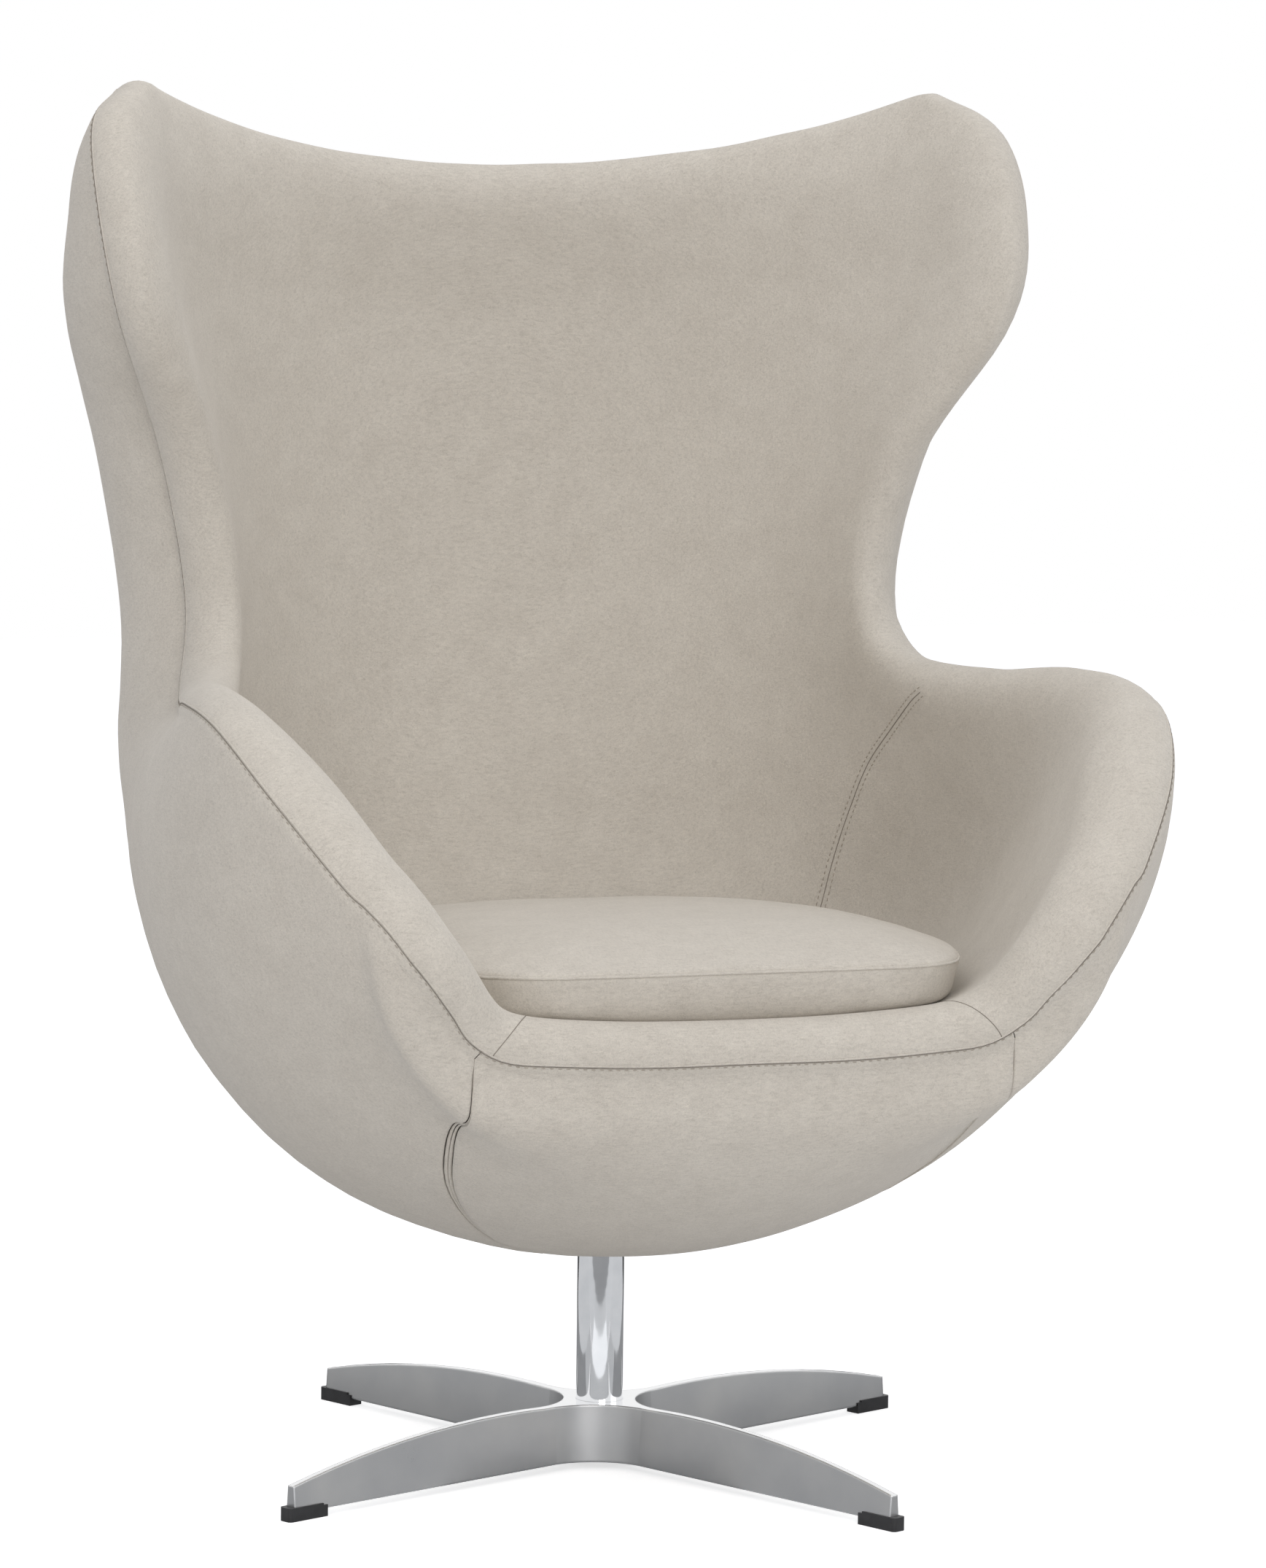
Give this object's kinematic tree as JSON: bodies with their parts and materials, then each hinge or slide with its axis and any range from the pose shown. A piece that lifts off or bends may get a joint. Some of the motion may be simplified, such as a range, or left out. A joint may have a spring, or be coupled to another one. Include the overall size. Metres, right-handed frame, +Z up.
{
  "type": "swivel lounge chair",
  "caption": "Upholstered egg-shaped lounge chair with wrap-around wings and a loose seat cushion, on a swivel and tilt column with a polished four-star base.",
  "frame": {"origin": "middle of the chair's footprint, on the floor", "axes": "+Z up, the chair faces -Y, +X to the sitter's left"},
  "size_m": [0.7736, 0.7498, 1.0557],
  "materials": {
    "polished_casting": "polished and buffed casting",
    "black_plastic": "matt black moulding",
    "chromed_tube": "bright chrome",
    "turned_steel": "turned and ground",
    "plain_steel": "zinc plated",
    "dark_steel": "black powder coat",
    "nylon": "natural nylon",
    "foam_core": "moulded foam over a glass fibre shell",
    "felt": "brushed heathered wool felt",
    "felt_cushion": "brushed heathered wool felt with piped seams"
  },
  "bodies": {
    "base": {"star_base": "polished_casting", "foot_glide_1": "black_plastic", "foot_glide_2": "black_plastic", "foot_glide_3": "black_plastic", "foot_glide_4": "black_plastic", "base_bolt": "plain_steel", "base_washer": "plain_steel", "column_plug": "plain_steel", "column_tube": "chromed_tube", "lower_bush": "nylon", "upper_bush": "nylon", "lower_race": "plain_steel", "ball_cage": "nylon", "bearing_balls": "plain_steel"},
    "carriage": {"upper_race": "plain_steel", "spindle": "turned_steel", "retaining_ring": "plain_steel", "tilt_housing": "dark_steel", "tilt_pin": "chromed_tube", "pin_clips": "plain_steel", "spring_cup": "dark_steel", "return_spring": "plain_steel"},
    "knob": {"tension_bolt": "plain_steel", "tension_knob": "black_plastic"},
    "seat_shell": {"mounting_plate": "dark_steel", "plate_screws": "plain_steel", "screw_inserts": "plain_steel", "moulded_shell": "foam_core", "inner_cover": "felt", "outer_cover": "felt", "front_apron": "felt", "recess_trim": "black_plastic"},
    "cushion": {"seat_cushion": "felt_cushion"}
  },
  "joints": [
    {"name": "swivel", "type": "hinge", "parent": "base", "child": "carriage", "pos_m": [0, -0.02517, 0.12], "axis": [0, 0, 1], "continuous": true},
    {"name": "tilt", "type": "hinge", "parent": "carriage", "child": "seat_shell", "pos_m": [0, -0.07017, 0.205], "axis": [-1, 0, 0], "range_deg": [0, 12], "stiffness_Nm_per_rad": 150, "springref_deg": -17.19, "deforming": ["return_spring"]},
    {"name": "tension", "type": "hinge", "parent": "carriage", "child": "knob", "pos_m": [0, 0.01083, 0.17], "axis": [0, 0, 1], "range_deg": [0, 1080]},
    {"name": "cushion_lift", "type": "slide", "parent": "seat_shell", "child": "cushion", "axis": [0, 0, 1], "range_m": [0, 0.25]}
  ]
}
